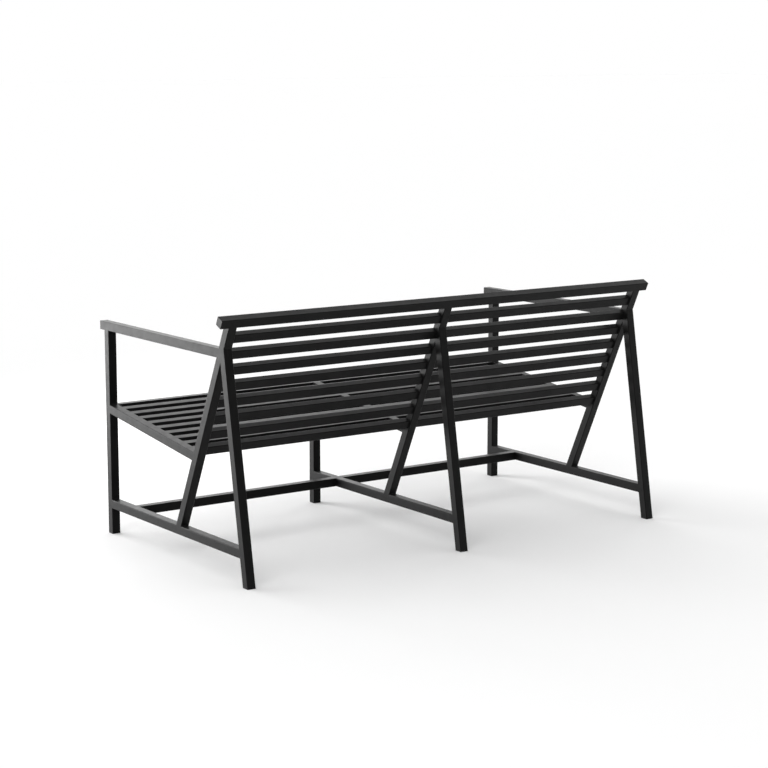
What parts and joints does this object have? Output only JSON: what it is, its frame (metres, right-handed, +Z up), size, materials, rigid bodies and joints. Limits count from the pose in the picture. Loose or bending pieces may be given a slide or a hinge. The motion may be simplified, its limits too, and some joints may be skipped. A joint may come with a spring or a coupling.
{
  "type": "lounge sofa",
  "caption": "Two-seat outdoor lounge sofa frame of black coated square tube, with a slatted seat and reclined slatted back, level armrests and raked rear legs.",
  "frame": {"origin": "on the floor under the middle of the sofa's outline", "axes": "+X along the seat to the sitter's left, +Y from the front to the back, +Z up"},
  "size_m": [1.45, 0.792, 0.7016],
  "materials": {
    "powder_coat": "satin black powder coat over welded and ground aluminium tube",
    "glide_plastic": "matte black moulded plastic"
  },
  "bodies": {
    "root": {"left_front_leg": "powder_coat", "left_rear_leg": "powder_coat", "left_bottom_rail": "powder_coat", "left_seat_rail": "powder_coat", "left_back_strut": "powder_coat", "left_armrest": "powder_coat", "middle_front_leg": "powder_coat", "middle_rear_leg": "powder_coat", "middle_bottom_rail": "powder_coat", "middle_seat_rail": "powder_coat", "middle_back_strut": "powder_coat", "right_front_leg": "powder_coat", "right_rear_leg": "powder_coat", "right_bottom_rail": "powder_coat", "right_seat_rail": "powder_coat", "right_back_strut": "powder_coat", "right_armrest": "powder_coat", "left_stretcher": "powder_coat", "left_front_beam": "powder_coat", "left_seat_slat_1": "powder_coat", "left_seat_slat_2": "powder_coat", "left_seat_slat_3": "powder_coat", "left_seat_slat_4": "powder_coat", "left_seat_slat_5": "powder_coat", "left_seat_slat_6": "powder_coat", "left_seat_slat_7": "powder_coat", "left_seat_slat_8": "powder_coat", "left_seat_slat_9": "powder_coat", "left_back_slat_1": "powder_coat", "left_back_slat_2": "powder_coat", "left_back_slat_3": "powder_coat", "left_back_slat_4": "powder_coat", "left_back_slat_5": "powder_coat", "left_back_slat_6": "powder_coat", "left_back_slat_7": "powder_coat", "left_back_slat_8": "powder_coat", "right_stretcher": "powder_coat", "right_front_beam": "powder_coat", "right_seat_slat_1": "powder_coat", "right_seat_slat_2": "powder_coat", "right_seat_slat_3": "powder_coat", "right_seat_slat_4": "powder_coat", "right_seat_slat_5": "powder_coat", "right_seat_slat_6": "powder_coat", "right_seat_slat_7": "powder_coat", "right_seat_slat_8": "powder_coat", "right_seat_slat_9": "powder_coat", "right_back_slat_1": "powder_coat", "right_back_slat_2": "powder_coat", "right_back_slat_3": "powder_coat", "right_back_slat_4": "powder_coat", "right_back_slat_5": "powder_coat", "right_back_slat_6": "powder_coat", "right_back_slat_7": "powder_coat", "right_back_slat_8": "powder_coat", "top_rail": "powder_coat", "end_caps": "powder_coat", "foot_glides": "glide_plastic", "weld_beads": "powder_coat"}
  },
  "joints": []
}
